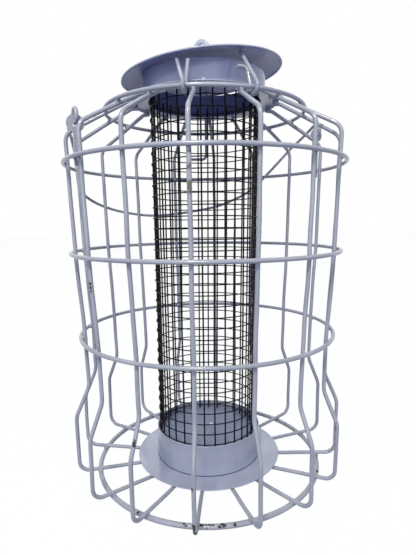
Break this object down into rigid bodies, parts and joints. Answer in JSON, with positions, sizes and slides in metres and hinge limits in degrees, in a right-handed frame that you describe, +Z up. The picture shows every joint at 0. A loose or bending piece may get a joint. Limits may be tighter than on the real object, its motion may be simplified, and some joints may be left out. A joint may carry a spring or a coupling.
{
  "type": "caged bird feeder",
  "caption": "Squirrel-proof bird feeder: a round wire cage about a mesh food tube, with a conical lid that tips up on hook hinges and a curled wire carrying handle.",
  "frame": {"origin": "on the floor under the middle of the feeder's extents, which is within 2 mm of the cage's axis", "axes": "+Z up along the cage's axis; -Y towards the hinge hooks of the lid, +Y towards its latch loop"},
  "size_m": [0.206, 0.2075, 0.3189],
  "materials": {
    "cage_wire_01": "lavender-grey gloss powder coat, chipped at its foot and smudged below the shoulder hoop",
    "cage_wire_02": "lavender-grey gloss powder coat",
    "cage_wire_03": "lavender-grey gloss powder coat",
    "cage_wire_04": "lavender-grey gloss powder coat, chipped at its knee",
    "cage_wire_05": "lavender-grey gloss powder coat, smudged on its slant",
    "cage_wire_06": "lavender-grey gloss powder coat",
    "cage_wire_07": "lavender-grey gloss powder coat",
    "cage_wire_08": "lavender-grey gloss powder coat",
    "cage_wire_09": "lavender-grey gloss powder coat",
    "cage_wire_10": "lavender-grey gloss powder coat",
    "cage_wire_11": "lavender-grey gloss powder coat",
    "cage_wire_12": "lavender-grey gloss powder coat",
    "cage_wire_13": "lavender-grey gloss powder coat",
    "cage_wire_14": "lavender-grey gloss powder coat, one small chip on its spoke",
    "cage_wire_15": "lavender-grey gloss powder coat, one small chip at its side",
    "cage_wire_16": "lavender-grey gloss powder coat, chipped at its knee",
    "base_hoop": "lavender-grey gloss powder coat, chipped to dark steel along its front and right side",
    "lower_hoop": "lavender-grey gloss powder coat",
    "middle_hoop": "lavender-grey gloss powder coat",
    "shoulder_hoop": "lavender-grey gloss powder coat",
    "collar_ring": "lavender-grey gloss powder coat",
    "base_plate": "lavender-grey gloss powder coat",
    "base_cup": "lavender-grey gloss powder coat",
    "top_plate": "lavender-grey gloss powder coat",
    "top_neck": "lavender-grey gloss powder coat",
    "mesh_tube": "black dip coat, half gloss",
    "ear_left": "lavender-grey gloss powder coat",
    "ear_right": "lavender-grey gloss powder coat",
    "lid_cover": "lavender-grey gloss powder coat",
    "lid_eye": "lavender-grey gloss powder coat",
    "lid_hook_left": "lavender-grey gloss powder coat",
    "lid_hook_right": "lavender-grey gloss powder coat, one small chip on its leg",
    "lid_latch_loop": "lavender-grey gloss powder coat",
    "carry_handle": "lavender-grey gloss powder coat, its ends cut bare"
  },
  "bodies": {
    "cage": {"cage_wire_01": "cage_wire_01", "cage_wire_02": "cage_wire_02", "cage_wire_03": "cage_wire_03", "cage_wire_04": "cage_wire_04", "cage_wire_05": "cage_wire_05", "cage_wire_06": "cage_wire_06", "cage_wire_07": "cage_wire_07", "cage_wire_08": "cage_wire_08", "cage_wire_09": "cage_wire_09", "cage_wire_10": "cage_wire_10", "cage_wire_11": "cage_wire_11", "cage_wire_12": "cage_wire_12", "cage_wire_13": "cage_wire_13", "cage_wire_14": "cage_wire_14", "cage_wire_15": "cage_wire_15", "cage_wire_16": "cage_wire_16", "base_hoop": "base_hoop", "lower_hoop": "lower_hoop", "middle_hoop": "middle_hoop", "shoulder_hoop": "shoulder_hoop", "collar_ring": "collar_ring", "base_plate": "base_plate", "base_cup": "base_cup", "top_plate": "top_plate", "top_neck": "top_neck", "mesh_tube": "mesh_tube", "ear_left": "ear_left", "ear_right": "ear_right"},
    "lid": {"lid_cover": "lid_cover", "lid_eye": "lid_eye", "lid_hook_left": "lid_hook_left", "lid_hook_right": "lid_hook_right", "lid_latch_loop": "lid_latch_loop"},
    "handle": {"carry_handle": "carry_handle"}
  },
  "joints": [
    {"name": "lid_hinge", "type": "hinge", "parent": "cage", "child": "lid", "pos_m": [0.00874, -0.06825, 0.26677], "axis": [0.9919, 0.1271, 0], "range_deg": [0, 105]},
    {"name": "handle_swing", "type": "hinge", "parent": "cage", "child": "handle", "pos_m": [0.00633, -0.01153, 0.258], "axis": [0.8759, 0.4805, 0.0444], "range_deg": [0, 135]}
  ]
}
